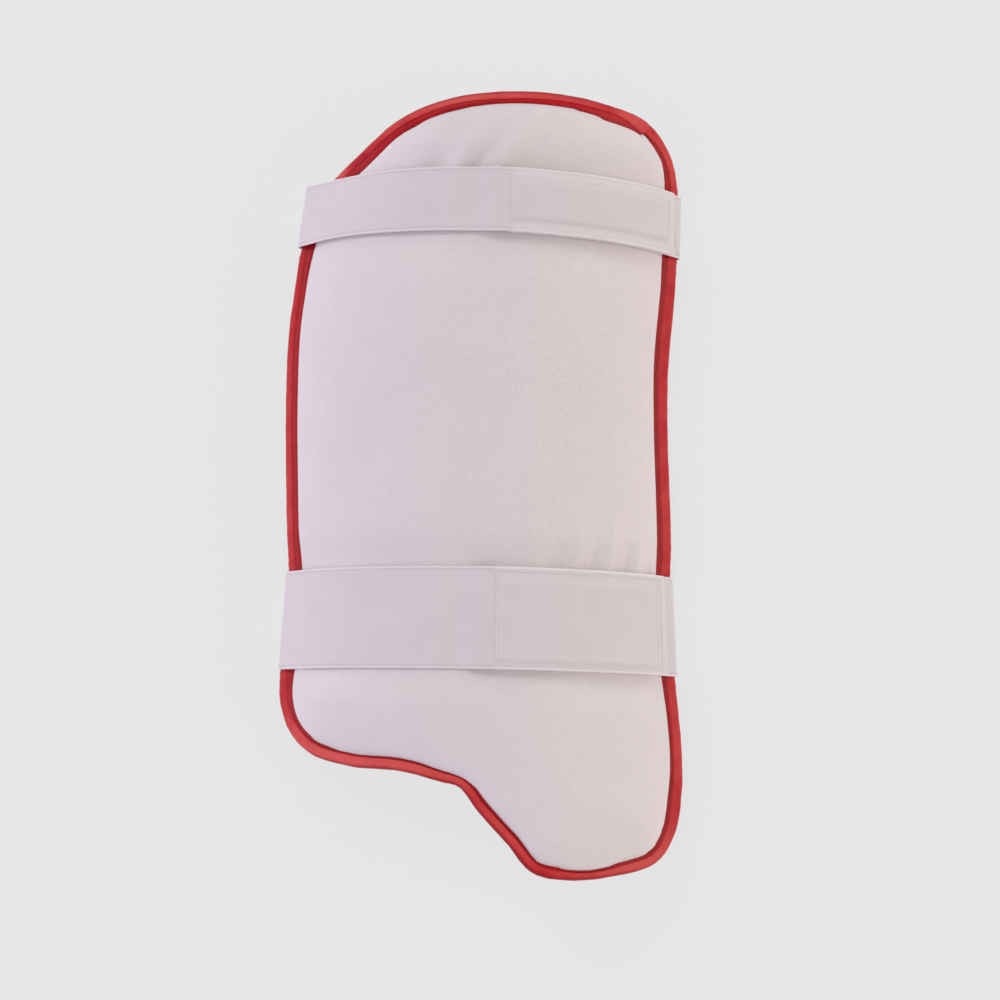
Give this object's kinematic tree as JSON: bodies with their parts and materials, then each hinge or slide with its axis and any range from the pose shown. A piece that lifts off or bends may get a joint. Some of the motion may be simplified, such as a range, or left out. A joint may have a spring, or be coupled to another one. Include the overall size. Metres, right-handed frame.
{
  "type": "cricket thigh guard",
  "caption": "Padded thigh guard: an arched foam panel in cloth with a bound edge, and elastic straps closed round it with hook tape",
  "frame": {"origin": "middle of the guard's box, on the surface that the back spans of the two straps lie on", "axes": "X across the thigh, Y along the thigh towards the hip end, Z out through the padded front"},
  "size_m": [0.2078, 0.3896, 0.0699],
  "materials": {
    "pad_cover": "matt off-white woven cotton cover",
    "binding": "satin red coated binding tape",
    "elastic": "matt off-white woven elastic",
    "hook_tape": "matt off-white hook tape"
  },
  "bodies": {
    "root": {"pad_body": "pad_cover", "edge_binding": "binding", "upper_strap": "elastic", "lower_strap": "elastic", "upper_hook_tape": "hook_tape", "lower_hook_tape": "hook_tape"}
  },
  "joints": []
}
